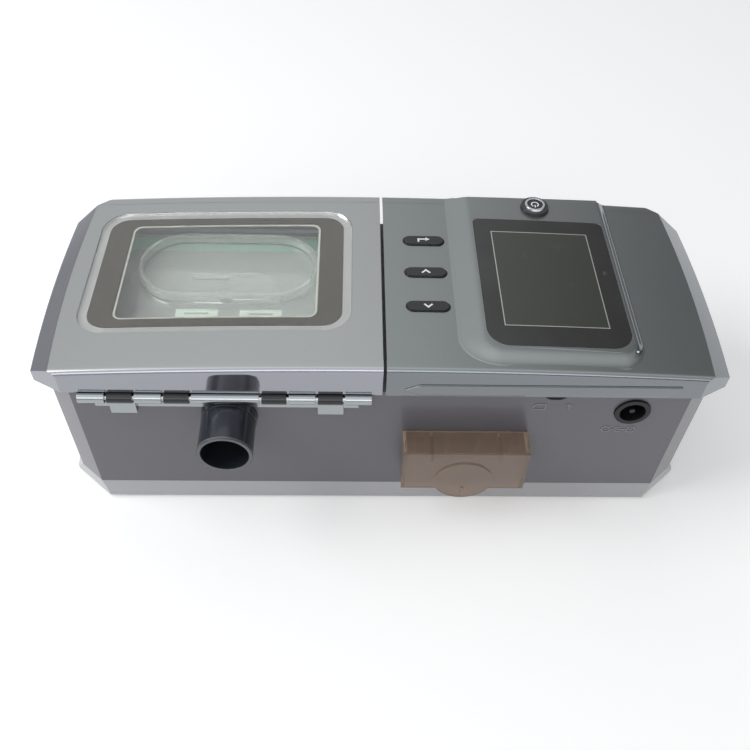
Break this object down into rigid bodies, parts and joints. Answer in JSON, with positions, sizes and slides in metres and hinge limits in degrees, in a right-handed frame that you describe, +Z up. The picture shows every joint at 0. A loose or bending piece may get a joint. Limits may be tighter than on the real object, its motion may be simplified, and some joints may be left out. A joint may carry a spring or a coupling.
{
  "type": "cpap machine",
  "caption": "Bedside breathing-air machine: display half with buttons, heated humidifier half under a hinged lid with a window, air outlet tube at the back.",
  "frame": {"origin": "under the middle of the whole machine, with its tube and filter cover, on the surface that the rubber feet stand on", "axes": "+Z up; -Y is the user's side and +Y the back with the tube and the inlets; +X runs from the display half to the humidifier half"},
  "size_m": [0.279, 0.1252, 0.0923],
  "materials": {
    "tray_plastic": "satin",
    "housing_plastic": "satin",
    "cover_paint": "metallic grey, semi-gloss",
    "rubber": "matte",
    "screw_steel": "satin",
    "lens": "gloss",
    "lcd": "satin",
    "board": "satin",
    "black_plastic": "semi-gloss",
    "chrome": "polished",
    "blower_plastic": "satin",
    "motor_metal": "satin",
    "foam": "open-cell foam",
    "tube_plastic": "semi-gloss",
    "silicone": "matte",
    "hinge_metal": "bright plated",
    "clear_plastic": "clear gloss",
    "border_print": "gloss",
    "liner_plastic": "satin",
    "heater_metal": "satin",
    "smoked_plastic": "translucent smoked brown",
    "button_plastic": "gloss"
  },
  "bodies": {
    "base": {"base_tray": "tray_plastic", "feet": "rubber", "base_screws": "screw_steel", "lower_housing": "housing_plastic", "top_cover": "cover_paint", "cover_screws": "screw_steel", "display_lens": "lens", "lcd_module": "lcd", "control_board": "board", "control_screws": "screw_steel", "tact_switches": "black_plastic", "power_collar": "black_plastic", "power_ring": "chrome", "main_board": "board", "board_parts": "black_plastic", "board_screws": "screw_steel", "dc_inlet": "black_plastic", "card_socket": "black_plastic", "blower_base": "blower_plastic", "blower_cover": "blower_plastic", "blower_screws": "screw_steel", "motor_can": "motor_metal", "blower_mounts": "rubber", "outlet_duct": "rubber", "muffler_foam": "foam", "filter_foam": "foam", "outlet_tube": "tube_plastic", "outlet_pipe": "tube_plastic", "outlet_seal": "silicone", "inlet_seal": "silicone", "hinge_rail": "hinge_metal", "hinge_pin": "screw_steel", "heater_springs": "screw_steel"},
    "lid": {"lid_shell": "cover_paint", "lid_window": "clear_plastic", "window_border": "border_print", "lid_liner": "liner_plastic", "liner_screws": "screw_steel", "hinge_arms": "black_plastic", "lid_catch": "black_plastic"},
    "tank": {"tank_base": "clear_plastic", "tank_gasket": "silicone", "tank_lid": "clear_plastic", "tank_clips": "clear_plastic", "tank_plate": "heater_metal"},
    "heater": {"heater_plate": "heater_metal"},
    "filter_cover": {"filter_cover": "smoked_plastic"},
    "enter_button": {"enter_button": "button_plastic"},
    "up_button": {"up_button": "button_plastic"},
    "down_button": {"down_button": "button_plastic"},
    "power_button": {"power_button": "button_plastic"},
    "rotor": {"impeller": "blower_plastic", "motor_shaft": "screw_steel", "motor_rotor": "motor_metal"}
  },
  "joints": [
    {"name": "lid_hinge", "type": "hinge", "parent": "base", "child": "lid", "pos_m": [0.0622, 0.0449, 0.072], "axis": [-1, 0, 0], "range_deg": [0, 92]},
    {"name": "tank_lift", "type": "slide", "parent": "base", "child": "tank", "axis": [0, 0, 1], "range_m": [0, 0.001]},
    {"name": "heater_press", "type": "slide", "parent": "base", "child": "heater", "axis": [0, 0, -1], "range_m": [0, 0.0012], "stiffness_N_per_m": 2500, "springref_m": -0.002, "deforming": ["heater_springs"]},
    {"name": "filter_cover_pull", "type": "slide", "parent": "base", "child": "filter_cover", "axis": [0, 1, 0], "range_m": [0, 0.025]},
    {"name": "enter_press", "type": "slide", "parent": "base", "child": "enter_button", "axis": [0, 0, -1], "range_m": [0, 0.001], "stiffness_N_per_m": 600, "springref_m": -0.001},
    {"name": "up_press", "type": "slide", "parent": "base", "child": "up_button", "axis": [0, 0, -1], "range_m": [0, 0.001], "stiffness_N_per_m": 600, "springref_m": -0.001},
    {"name": "down_press", "type": "slide", "parent": "base", "child": "down_button", "axis": [0, 0, -1], "range_m": [0, 0.001], "stiffness_N_per_m": 600, "springref_m": -0.001},
    {"name": "power_press", "type": "slide", "parent": "base", "child": "power_button", "axis": [0, 0, -1], "range_m": [0, 0.001], "stiffness_N_per_m": 600, "springref_m": -0.001},
    {"name": "impeller_spin", "type": "hinge", "parent": "base", "child": "rotor", "pos_m": [-0.091, -0.0141, 0.03], "axis": [0, 0, 1], "continuous": true}
  ]
}
